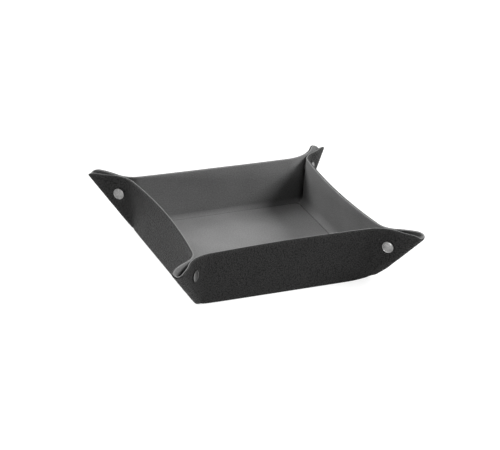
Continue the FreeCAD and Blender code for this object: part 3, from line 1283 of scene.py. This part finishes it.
@dataclass(frozen=True)
class BoardFinish:
    """Raw grey board with flecks."""

    tones: Tones = Tones(deep=0.22, light=0.42, span=(0.3, 0.7), warm=(0.08, 0.08))
    flecks: Grain = Grain(800.0, 5.0, 0.7)
    roughness: Pair = (0.8, 0.95)
    relief: Pair = (0.3, 0.0001)

    def material(self) -> Material:
        """Builds the material.

        Returns:
            The material.
        """
        sketch = NodeSketch("board")
        flecks = sketch.noise(sketch.place(), self.flecks)
        return sketch.finish(sketch.tint(flecks, self.tones), sketch.remap(flecks, self.roughness),
                             sketch.bump(flecks, *self.relief))


@dataclass(frozen=True)
class Finishes:
    """All materials of the tray."""

    leather: Material
    lining: Material
    leather_edge: Material
    lining_edge: Material
    metal: Material
    board: Material

    @classmethod
    def build(cls) -> Finishes:
        """Makes every material once.

        Returns:
            The materials.
        """
        black = Tones(deep=0.007, light=0.018, span=(0.3, 0.7))
        pale = Tones(deep=0.12, light=0.21, span=(0.3, 0.7))
        leather_edge = CutEdgeFinish("leather_edge", black, gloss=0.15)
        lining_edge = CutEdgeFinish("lining_edge", pale, gloss=0.25)
        kinds = (LeatherFinish(), LiningFinish(), leather_edge, lining_edge, MetalFinish(), BoardFinish())
        return cls(*(kind.material() for kind in kinds))

    def pair(self, layer: Layer) -> tuple[Material, Material]:
        """The finishes of a layer.

        Args:
            layer: the layer.

        Returns:
            The finish of its face and of its cut edge.
        """
        if layer is Layer.LEATHER:
            return self.leather, self.leather_edge
        return self.lining, self.lining_edge


# Sub-assemblies
@dataclass
class Base:
    """The flat bottom: leather underneath, the board, the lining on top, and the rolled creases round it.

    The line is pressed into the floor where a crease ends. The roll is the leather's crease, and the fillet
    is the lining's.
    """

    LINE_INSETS = {Wall.FRONT: 0.0025, Wall.RIGHT: 0.0038, Wall.BACK: 0.0025, Wall.LEFT: 0.0025}

    folding: Folding
    finishes: Finishes
    divisions: Divisions
    ring_steps: int = 30
    ring_power: float = 1.5
    twin_points: float = 1e-7
    plate_rings: int = 16
    plate_middle: float = 0.12
    board_inset: float = 0.00285
    floor_edge: float = 0.0007
    floor_draw: float = 1.6
    floor_edge_steps: int = 6
    floor_wave: float = 0.00018
    wave_turns: Pair = (41.0, 33.0)
    wave_starts: Pair = (0.6, -0.9)
    wave_fade: float = 6.0
    line_width: float = 0.0009
    line_depth: float = 0.0007
    roll_steps: int = 7
    roll_turn: tuple[Pair, Pair] = ((-0.0013, 0.0), (0.0002, 0.0015))
    fillet_stretch: float = 2.2
    fillet_hollow: float = 0.3
    fillet_least: float = 0.0016
    fillet_turn: Pair = (0.0007, 0.0009)
    fillet_steps: int = 7
    fillet_sink: float = 0.0001
    fillet_thick: float = 0.0004

    def outline(self, inset: float) -> tuple[Array, Array]:
        """The base's rounded outline, moved in by inset.

        Args:
            inset: distance inwards.

        Returns:
            Rows of x, y round the tray with no point twice, and the index of the half wall that each is on.
        """
        share = np.linspace(0.0, 1.0, self.ring_steps)
        flats = self.folding.sizes.half_base * (1 - (1 - share) ** self.ring_power)
        rows = []
        for half in self.folding.halves:
            along, out = self.folding.rules[half].ring(flats, np.zeros_like(flats), -inset)
            points = np.stack(half.turned(along, out), -1)
            rows.append(points[::-1] if half.side < 0 else points)
        joined = np.concatenate(rows)
        owners = np.repeat(np.arange(len(rows)), self.ring_steps)
        keep = np.linalg.norm(joined - np.roll(joined, 1, axis=0), axis=1) > self.twin_points
        return joined[keep], owners[keep]

    def lifts(self, plan: Array, owners: Array) -> Array:
        """How far points of the base stand off the table.

        Args:
            plan: rows of x, y.
            owners: the index of the half wall that each is on.

        Returns:
            The heights.
        """
        lifts = np.zeros(len(plan))
        for index, half in enumerate(self.folding.halves):
            own = owners == index
            lifts[own] = self.folding.rules[half].corner_lift(plan[own, 0], plan[own, 1])
        return lifts

    def wave(self, plan: Array, reach: float) -> Array:
        """How the floor rises and falls, from -1 to 1, and not at its edge.

        Args:
            plan: rows of x, y.
            reach: distance of the floor's edge from its middle.

        Returns:
            The rise of each point.
        """
        fade = np.clip((1 - np.abs(plan).max(1) / reach) * self.wave_fade, 0, 1)
        return fade * np.sin(plan * self.wave_turns + self.wave_starts).sum(1) / 2

    def plate(self, name: str, inset: float, section: list[Pair], material: Material, wave: float = 0.0,
              line: tuple[Triple, ...] = ()) -> Piece:
        """A closed plate with a soft edge.

        Args:
            name: the piece's name.
            inset: distance of its edge from the crease.
            section: (distance drawn in, height) from the lower face round the edge to the upper face.
            material: its finish.
            wave: how far the upper face rises and falls.
            line: (distance drawn in, height, mark of painted shade) of a line pressed into the upper face,
                from where each
            wall's crease ends. A mark of 1 paints the groove's shade into the lining.

        Returns:
            The plate.
        """
        draft = Draft(name)
        outline, owners = self.outline(inset)
        reach = float(np.abs(outline).max())
        right_back = self.LINE_INSETS[Wall.RIGHT], self.LINE_INSETS[Wall.BACK]
        left_front = self.LINE_INSETS[Wall.LEFT], self.LINE_INSETS[Wall.FRONT]
        ends = np.where(outline > 0, right_back, left_front) - inset
        low, high = section[0][1], section[-1][1]
        inner = np.linspace(self.plate_middle, 1.0, self.plate_rings)[:-1]
        rings = [(share, 0.0, low, 0.0) for share in inner]
        rings += [(1.0, drawn, height, 0.0) for drawn, height in section]
        rings += [(1.0, ends + drawn, height, wear) for drawn, height, wear in line]
        rings += [(share, 0.0, high, 0.0) for share in inner[::-1]]
        starts = []
        for share, drawn, height, wear in rings:
            plan = outline * share * (1 - drawn / reach)
            up = height + self.lifts(plan, owners)
            if height == high:
                up = up + wave * self.wave(plan, reach)
            starts.append(draft.add_points(np.column_stack([plan, up]), plan, wear))
        draft.close_rings(starts, len(outline), ((0.0, 0.0, low), (0.0, 0.0, high)))
        return draft.finish(material)

    def build_leather(self) -> Piece:
        """The leather under the board.

        Returns:
            The plate.
        """
        sizes = self.folding.sizes
        section = [(0.0, 0.0), (0.0, sizes.leather)]
        return self.plate("leather_base_plate", sizes.plate_inset, section, self.finishes.leather)

    def build_board(self) -> Piece:
        """The board between leather and lining.

        Returns:
            The plate.
        """
        sizes = self.folding.sizes
        bottom = sizes.leather + sizes.glue
        section = [(0.0, bottom), (0.0, bottom + sizes.board)]
        return self.plate("base_board_plate", self.board_inset, section, self.finishes.board)

    def build_floor(self) -> Piece:
        """The lining that makes the tray's floor, with a pressed line near its drawn-down edge whose bottom
        is marked for painted shade.

        Returns:
            The plate.
        """
        sizes = self.folding.sizes
        top = sizes.floor_top
        section = [(0.0, sizes.floor_bottom)]
        for angle in np.linspace(0.0, QUARTER_TURN, self.floor_edge_steps):
            drawn = self.floor_edge * self.floor_draw * (1 - math.cos(angle))
            section.append((drawn, top - self.floor_edge * (1 - math.sin(angle))))
        # The line's bottom is marked 1, where the lining gets painted shade for the groove's shadow.
        deepest = (self.line_width / 2, top - self.line_depth, 1.0)
        line = ((0.0, top, 0.0), deepest, (self.line_width, top, 0.0))
        return self.plate("lining_base_plate", sizes.plate_inset, section, self.finishes.lining,
                          self.floor_wave, line)

    def base_point(self, rule: FoldRule, flat: float, inset: float, height: float) -> Array:
        """A point of the base near its edge.

        Args:
            rule: the rule of the half wall.
            flat: flat distance from the wall's middle.
            inset: distance inwards from the crease.
            height: height above the base's underside.

        Returns:
            Its (along, out, up).
        """
        along, out = rule.ring(np.array([flat]), np.zeros(1), -inset)
        return np.array([along[0], out[0], height + rule.corner_lift(along, out)[0]])

    def leather_crease(self, rule: FoldRule, column: Column) -> tuple[Array, Array]:
        """The section of the leather's rolled crease under one column of the sheet.

        Args:
            rule: the rule of the half wall.
            column: the column.

        Returns:
            Rows of (along, out, up) round the section, and rows of flat coordinates.
        """
        sizes = self.folding.sizes
        outer, inner = sizes.faces(Layer.LEATHER)
        (middle,), (flat,) = rule.middle(column, np.zeros(1))
        (normal,) = rule.normal(column, np.zeros(1))
        tilt = math.asin(float(np.clip(-normal[2], -1.0, 1.0)))
        level = normal * (1.0, 1.0, 0.0) / math.hypot(normal[0], normal[1])
        roll = [middle + outer * (level * math.cos(turn) - np.array([0.0, 0.0, math.sin(turn)]))
                for turn in np.linspace(tilt, QUARTER_TURN, self.roll_steps)]
        under = self.base_point(rule, flat[0], sizes.plate_inset, 0.0)
        points = np.stack(roll + [under, under + (0.0, 0.0, sizes.leather), middle + normal * inner])
        outs = np.array([flat[1]] * self.roll_steps + [sizes.half_base - sizes.plate_inset] * 2 + [flat[1]])
        return points, np.stack([np.full(len(outs), flat[0]), outs], -1)

    def lining_crease(self, rule: FoldRule, column: Column, inset: float) -> tuple[Array, Array]:
        """The section of the lining's soft crease from the floor to a wall, under one column of the sheet.

        Args:
            rule: the rule of the half wall.
            column: the column.
            inset: where the crease starts on the floor, along the wall's straight run.

        Returns:
            Rows of (along, out, up) round the section, and rows of flat coordinates.
        """
        sizes = self.folding.sizes
        straight = {Zone.WALL: 1.0, Zone.BEND: 1.0 - column.share}.get(column.zone, 0.0)
        inset = ease(sizes.plate_inset + self.fillet_least, inset, straight)
        rise = ease(self.fillet_least, inset * self.fillet_stretch, straight)
        rises = sizes.floor_top - sizes.half + np.array([0.0, rise])
        middle, flat = rule.middle(column, rises)
        normal = rule.normal(column, rises)
        corner, top = middle - normal * (sizes.half - self.fillet_sink)
        foot_flat = rule.middle(column, np.zeros(1))[1][0, 0]
        start = self.base_point(rule, foot_flat, inset, sizes.floor_top - self.fillet_sink)
        corner[2] = start[2]
        corner = ease(corner, top, self.fillet_hollow)
        turn = np.linspace(0.0, 1.0, self.fillet_steps)[:, None]
        face = (1 - turn) ** 2 * start + 2 * turn * (1 - turn) * corner + turn ** 2 * top
        sunk = ease(np.array([0.0, 0.0, -self.fillet_thick]), normal[1] * self.fillet_thick, turn)
        outs = ease(sizes.half_base - inset, flat[1, 1], turn[:, 0])
        outs = np.concatenate([outs, outs[::-1]])
        points = np.concatenate([face, (face + sunk)[::-1]])
        return points, np.stack([np.full(len(outs), flat[1, 0]), outs], -1)

    def build_crease(self, wall: Wall, layer: Layer) -> Piece:
        """The strip of a layer where it turns up from the base into one wall.

        Args:
            wall: the wall.
            layer: the layer.

        Returns:
            The strip.
        """
        draft = Draft(f"{layer.value}_crease_{wall.label}")
        starts = []
        for half, column in self.divisions.whole_wall(wall, *Zone):
            rule = self.folding.rules[half]
            if layer is Layer.LEATHER:
                points, flats = self.leather_crease(rule, column)
            else:
                points, flats = self.lining_crease(rule, column, self.LINE_INSETS[wall])
            starts.append(draft.add_points(half.world(points), half.flat(flats)))
        length = starts[1]
        draft.stitch(starts, [0] * length)
        draft.add_face(tuple(range(length)))
        draft.add_face(tuple(range(starts[-1], draft.count))[::-1])
        return draft.finish(self.finishes.pair(layer)[0])

    def dress(self) -> list[Piece]:
        """Builds the base's pieces, sets the plates on the base's body and hides the frame's base nodes.

        Returns:
            The pieces.
        """
        pieces = []
        for piece, node, slot in ((self.build_leather(), "leather_base", "leather"),
                                  (self.build_board(), "base_board", "board"),
                                  (self.build_floor(), "lining_base", "lining")):
            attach(piece, "base")
            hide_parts(node)
            pieces.append(piece)
        edge, floor = self.folding.sizes.half_base, self.folding.sizes.floor_top
        on, up = self.fillet_turn
        for wall in Wall:
            line = -self.LINE_INSETS[wall]
            turns = {Layer.LEATHER: self.roll_turn, Layer.LINING: ((line, floor), (line + on, floor + up))}
            for layer, span in turns.items():
                strip = self.build_crease(wall, layer)
                ends = np.array([(0.0, edge + out, height) for out, height in span])
                start, end = HalfWall(wall, 1).world(ends)
                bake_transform(strip)
                pieces.append(strip)
        return pieces


@dataclass
class WallPanels:
    """The four walls, leather outside and lining inside."""

    folding: Folding
    finishes: Finishes
    divisions: Divisions

    def build(self, wall: Wall, layer: Layer) -> Piece:
        """One layer of one wall.

        Args:
            wall: the wall.
            layer: the layer.

        Returns:
            The panel.
        """
        panel = SheetPanel(self.folding, layer, wall.label, self.divisions.rows)
        for half, column in self.divisions.whole_wall(wall, Zone.WALL):
            panel.add_column(half, column)
        return panel.finish(self.finishes)

    def dress(self) -> list[Piece]:
        """Builds the walls, sets each panel on its wall's body and hides the frame's wall nodes.

        Returns:
            The panels.
        """
        pieces = []
        for wall in Wall:
            for layer in Layer:
                piece = self.build(wall, layer)
                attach(piece, f"{wall.label}_wall")
                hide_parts(f"{layer.value}_{wall.label}")
                pieces.append(piece)
        return pieces


@dataclass
class CornerFlaps:
    """The pinched corners: a flap and a fold half at each end of each wall.

    Each fold half has a thin lap inside the other half, which closes the diagonal when the tray is laid out.
    """

    folding: Folding
    finishes: Finishes
    divisions: Divisions
    flap_turn: float = 0.0120
    flap_heading: float = EIGHTH_TURN / 2
    fold_turn: float = 0.0056
    fold_heading: float = 0.0
    lap_share: float = 0.32
    lap_thin: float = 0.45
    lap_columns: int = 6

    def build(self, half: HalfWall, layer: Layer, body: str, zones: tuple[Zone, ...]) -> Piece:
        """One layer of a flap, or of a fold half with its lap.

        Args:
            half: the half wall that it is on.
            layer: the layer.
            body: the body that it ends on.
            zones: the stretches that it covers.

        Returns:
            The panel.
        """
        panel = SheetPanel(self.folding, layer, body, self.divisions.rows)
        for column in self.divisions.columns(*zones):
            panel.add_column(half, column)
        if Zone.FOLD in zones:
            for share in np.linspace(1.0, 1.0 - self.lap_share, self.lap_columns):
                panel.add_column(half.across, Column(Zone.FOLD, float(share)), self.lap_thin)
        return panel.finish(self.finishes)

    def turn_span(self, half: HalfWall, joint: dict, heading: float, width: float) -> tuple[Vector, Vector]:
        """Where a panel starts and ends to turn, across its hinge line.

        Args:
            half: the half wall.
            joint: the frame's hinge.
            heading: the sheet's heading there, from the wall's run towards outwards.
            width: how wide the turning strip is.

        Returns:
            The start and the end.
        """
        place, axis = Vector(joint["pos_m"]), Vector(joint["axis"]).normalized()
        across = Vector(half.world(np.array([math.cos(heading), math.sin(heading), 0.0])))
        across = (across - axis * across.dot(axis)).normalized() * width / 2
        return place - across, place + across

    def dress(self, joints: list[dict]) -> list[Piece]:
        """Builds the corners' panels and hides the frame's flap and fold nodes.

        Args:
            joints: the frame's hinges.

        Returns:
            The panels.
        """
        hinges = {joint["child"]: joint for joint in joints}
        pieces = []
        for half in self.folding.halves:
            wall = f"{half.wall.label}_wall"
            parts = ((wall, half.flap, (Zone.BEND, Zone.FLANK), self.flap_heading, self.flap_turn),
                     (half.flap, half.fold, (Zone.FOLD,), self.fold_heading, self.fold_turn))
            for first, second, zones, heading, width in parts:
                start, end = self.turn_span(half, hinges[second], heading, width)
                for layer in Layer:
                    piece = self.build(half, layer, second, zones)
                    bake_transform(piece)
                    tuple(start)
                    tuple(end)
                    flap = second == half.flap
                    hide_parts(f"{layer.value}_{second}" if flap else second)
                    pieces.append(piece)
        return pieces


@dataclass
class Snaps:
    """The snap at each corner: turned caps outside, and the frame's socket, spring and stud inside."""

    INPUTS = {"Form": "NodeSocketObject", "Place": "NodeSocketVector", "Axis": "NodeSocketVector",
              "Finish": "NodeSocketMaterial"}
    NODES = {"given": "NodeGroupInput", "point": "GeometryNodePoints", "form": "GeometryNodeObjectInfo",
             "aim": "FunctionNodeAlignRotationToVector", "setting": "GeometryNodeInstanceOnPoints",
             "real": "GeometryNodeRealizeInstances", "finish": "GeometryNodeSetMaterial",
             "out": "NodeGroupOutput"}
    LINKS = (("given", "Place", "point", "Position"), ("given", "Form", "form", "Object"),
             ("given", "Axis", "aim", "Vector"), ("point", "Points", "setting", "Points"),
             ("form", "Geometry", "setting", "Instance"), ("aim", "Rotation", "setting", "Rotation"),
             ("setting", "Instances", "real", "Geometry"), ("real", "Geometry", "finish", "Geometry"),
             ("given", "Finish", "finish", "Material"), ("finish", "Geometry", "out", "Geometry"))

    folding: Folding
    finishes: Finishes

    @property
    def sizes(self) -> SnapSizes:
        """The snap's sizes."""
        return self.folding.snap

    def cap_section(self) -> list[Pair]:
        """The cap's section.

        Returns:
            Pairs of radius and height from the top's middle round to the post's end.
        """
        cap = self.sizes
        top = cap.rim_height
        section = [(0.0, top + cap.dome)]
        section += [(cap.radius * share, top + cap.dome * (1 - share * share)) for share in cap.dome_shares]
        groove = cap.radius * cap.groove_share
        section += [(groove + step, top + cap.dome * share) for step, share in cap.groove_steps]
        for angle in np.linspace(*cap.edge_turn, cap.edge_steps):
            radius = cap.radius - cap.edge * (1 - math.cos(angle))
            section.append((radius, top + cap.dome * cap.edge_share - cap.edge * (1 - math.sin(angle))))
        section += [(cap.radius - cap.edge * cap.under_share, 0.0), (cap.post_radius, 0.0),
                    (cap.post_radius, -cap.post_length), (0.0, -cap.post_length)]
        return section

    def cap_form(self) -> Piece:
        """The cap turned about the upright axis.

        Returns:
            A form to set in place.
        """
        draft = Draft("cap_form")
        first, *section, last = self.cap_section()
        count = self.sizes.segments
        turns = np.linspace(0.0, 2 * math.pi, count, endpoint=False)
        starts = []
        for radius, height in section:
            ring = np.column_stack([radius * np.cos(turns), radius * np.sin(turns), np.full(count, height)])
            starts.append(draft.add_points(ring, ring[:, :2]))
        draft.close_rings(starts, count, ((0.0, *first), (0.0, *last)))
        return draft.finish(self.finishes.metal)

    def setting_tree(self) -> Tree:
        """Geometry nodes that set a turned form at a place along an axis.

        Returns:
            The tree.
        """
        tree = bpy.data.node_groups.new("set_cap", "GeometryNodeTree")
        for label, kind in self.INPUTS.items():
            tree.interface.new_socket(label, in_out="INPUT", socket_type=kind)
        tree.interface.new_socket("Geometry", in_out="OUTPUT", socket_type="NodeSocketGeometry")
        nodes = {key: tree.nodes.new(kind) for key, kind in self.NODES.items()}
        nodes["aim"].axis = "Z"
        for first, output, second, target in self.LINKS:
            tree.links.new(nodes[first].outputs[output], nodes[second].inputs[target])
        return tree

    def set_cap(self, name: str, half: HalfWall, form: Piece, tree: Tree) -> Piece:
        """Sets one cap on the outer face of a flap.

        Args:
            name: the piece's name.
            half: the half wall whose flap carries it.
            form: the turned cap.
            tree: the nodes that set it.

        Returns:
            The cap as a plain mesh.
        """
        rule = self.folding.rules[half]
        seat = from_diagonal(rule.snap_on, self.sizes.seat + rule.sizes.half)
        place = half.world(np.array([*seat, rule.snap_up]))
        axis = half.world(np.array([*from_diagonal(0.0, 1.0), 0.0]))
        holder = bpy.data.objects.new(name, bpy.data.meshes.new(name))
        bpy.context.scene.collection.objects.link(holder)
        modifier = holder.modifiers.new("set_cap", "NODES")
        modifier.node_group = tree
        values = {"Form": form, "Place": tuple(place.tolist()), "Axis": tuple(axis.tolist()),
                  "Finish": self.finishes.metal}
        for item in tree.interface.items_tree:
            if item.in_out == "INPUT":
                modifier[item.identifier] = values[item.name]
        graph = bpy.context.evaluated_depsgraph_get()
        baked = bpy.data.meshes.new_from_object(holder.evaluated_get(graph))
        holder.modifiers.clear()
        holder.data = baked
        return holder

    def dress(self, nodes: dict[str, Piece]) -> list[Piece]:
        """Sets the caps and gives the frame's inner snap pieces their finish.

        Args:
            nodes: the frame's nodes.

        Returns:
            The caps.
        """
        form, tree = self.cap_form(), self.setting_tree()
        pieces = []
        for wall in Wall:
            for kind in Cap:
                half = HalfWall(wall, kind.value)
                name = f"{kind.label}_{half.corner}"
                cap = self.set_cap(f"{name}_turned", half, form, tree)
                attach(cap, half.flap)
                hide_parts(name)
                pieces.append(cap)
        bpy.data.objects.remove(form)
        for name, node in nodes.items():
            if name.startswith("snap_"):
                node.data.materials.clear()
                node.data.materials.append(self.finishes.metal)
        return pieces


# Studio
@dataclass(frozen=True)
class Lamp:
    """A square soft lamp: its name, where it stands, its side, and its output in watts."""

    name: str
    place: Triple
    side: float
    power: float


@dataclass
class Studio:
    """White floor and surround, soft lamps, and the camera."""

    LAMPS = (Lamp("right", (1.47, -0.45, 1.24), 0.75, 52.0), Lamp("back", (-1.2, 1.1, 1.4), 1.0, 37.0),
             Lamp("top", (-0.1, 0.3, 2.0), 0.9, 8.0), Lamp("low", (-1.0, -1.2, 0.05), 0.3, 15.0))

    azimuth: float = math.radians(-22.168)
    elevation: float = math.radians(24.415)
    roll: float = math.radians(1.359)
    distance: float = 1.9021
    aim_height: float = 0.025
    lens: float = 170.31
    sensor: float = 36.0
    shift: Pair = (-0.00444, -0.00136)
    clip: Pair = (0.05, 50.0)
    lamp_aim: float = 0.02
    world_light: float = 0.05
    floor_half: float = 3.0
    floor_drop: float = 0.0002
    floor_paint: float = 0.8
    floor_shade: float = 0.22
    floor_glow: float = 0.88

    def add_object(self, name: str, data: bpy.types.ID) -> Piece:
        """Puts an object in the scene.

        Args:
            name: the object's name.
            data: its camera, lamp or mesh.

        Returns:
            The object.
        """
        thing = bpy.data.objects.new(name, data)
        bpy.context.scene.collection.objects.link(thing)
        return thing

    def add_camera(self) -> None:
        """Places the camera at the photograph's angle."""
        data = bpy.data.cameras.new("camera")
        data.lens, data.sensor_width = self.lens, self.sensor
        data.shift_x, data.shift_y = self.shift
        data.clip_start, data.clip_end = self.clip
        turn = Matrix.Rotation(self.azimuth, 4, "Z") @ Matrix.Rotation(QUARTER_TURN - self.elevation, 4, "X")
        turn = turn @ Matrix.Rotation(self.roll, 4, "Z")
        aim, back = Vector((0.0, 0.0, self.aim_height)), Vector((0.0, 0.0, self.distance))
        camera = self.add_object("camera", data)
        camera.matrix_world = Matrix.Translation(aim) @ turn @ Matrix.Translation(back)
        bpy.context.scene.camera = camera

    def shader(self, tree: Tree, kind: str, level: float) -> Node:
        """Adds a shader of a plain grey.

        Args:
            tree: the tree.
            kind: the shader's type.
            level: the grey's level.

        Returns:
            The shader.
        """
        node = tree.nodes.new(kind)
        node.inputs["Color"].default_value = (*grey(level), 1.0)
        return node

    def show(self, tree: Tree, lit: Node, seen: Node, output: str) -> None:
        """Shows one shader to rays that look at the studio, straight or mirrored, and another to all others.

        Args:
            tree: the tree.
            lit: the shader that sends light to the tray.
            seen: the shader that is looked at.
            output: the name of the tree's output.
        """
        path = tree.nodes.new("ShaderNodeLightPath")
        looks = path.outputs["Is Camera Ray"]
        for kind in ("Is Glossy Ray", "Is Transmission Ray"):
            node = tree.nodes.new("ShaderNodeMath")
            node.operation = "MAXIMUM"
            tree.links.new(looks, node.inputs[0])
            tree.links.new(path.outputs[kind], node.inputs[1])
            looks = node.outputs["Value"]
        mix = tree.nodes.new("ShaderNodeMixShader")
        for source, target in zip((looks, lit.outputs[0], seen.outputs[0]), mix.inputs):
            tree.links.new(source, target)
        tree.links.new(mix.outputs[0], tree.nodes[output].inputs["Surface"])

    def add_world(self) -> None:
        """A white surround that lights the tray softly."""
        world = bpy.data.worlds.new("surround")
        world.use_nodes = True
        bpy.context.scene.world = world
        tree = world.node_tree
        light = tree.nodes["Background"]
        light.inputs["Color"].default_value = (*grey(1.0), 1.0)
        light.inputs["Strength"].default_value = self.world_light
        self.show(tree, light, self.shader(tree, "ShaderNodeBackground", 1.0), "World Output")

    def add_floor(self) -> None:
        """A white floor that keeps a faint shadow of the tray."""
        half, up = self.floor_half, -self.floor_drop
        corners = [(-half, -half, up), (half, -half, up), (half, half, up), (-half, half, up)]
        mesh = bpy.data.meshes.new("floor")
        mesh.from_pydata(corners, [], [(0, 1, 2, 3)])
        material = bpy.data.materials.new("floor")
        material.use_nodes = True
        tree = material.node_tree
        tree.nodes.remove(tree.nodes["Principled BSDF"])
        paint = self.shader(tree, "ShaderNodeBsdfDiffuse", self.floor_paint)
        shade = self.shader(tree, "ShaderNodeBsdfDiffuse", self.floor_shade)
        glow = self.shader(tree, "ShaderNodeEmission", 1.0)
        glow.inputs["Strength"].default_value = self.floor_glow
        both = tree.nodes.new("ShaderNodeAddShader")
        tree.links.new(shade.outputs[0], both.inputs[0])
        tree.links.new(glow.outputs[0], both.inputs[1])
        self.show(tree, paint, both, "Material Output")
        mesh.materials.append(material)
        floor = self.add_object("floor", mesh)

    def add_lamp(self, lamp: Lamp) -> None:
        """Puts up a lamp that points at the tray.

        Args:
            lamp: the lamp.
        """
        data = bpy.data.lights.new(lamp.name, "AREA")
        data.shape = "SQUARE"
        data.size = lamp.side
        data.energy = lamp.power
        stand = self.add_object(lamp.name, data)
        stand.location = lamp.place
        stand.rotation_mode = "QUATERNION"
        aim = Vector((0.0, 0.0, self.lamp_aim)) - Vector(lamp.place)
        stand.rotation_quaternion = aim.to_track_quat("-Z", "Y")

    def dress(self) -> None:
        """Sets up the studio."""
        bpy.context.scene.view_settings.view_transform = "Standard"
        self.add_camera()
        self.add_world()
        self.add_floor()
        for lamp in self.LAMPS:
            self.add_lamp(lamp)


def main() -> None:
    """Loads the frame, builds the tray's sub-assemblies round it and sets up the studio."""
    logging.basicConfig(level=logging.INFO, format="%(name)s %(message)s")
    bpy.ops.wm.read_factory_settings(use_empty=True)
    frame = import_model()
    folding = Folding(SheetSizes(), SnapSizes())
    finishes, divisions = Finishes.build(), Divisions()
    Studio().dress()
    pieces = Base(folding, finishes, divisions).dress()
    pieces += WallPanels(folding, finishes, divisions).dress()
    pieces += CornerFlaps(folding, finishes, divisions).dress(frame["joints"])
    pieces += Snaps(folding, finishes).dress(frame["nodes"])
    for piece in pieces:
        LOG.info("%s: %d faces", piece.name, len(piece.data.polygons))


if __name__ == "__main__":
    main()
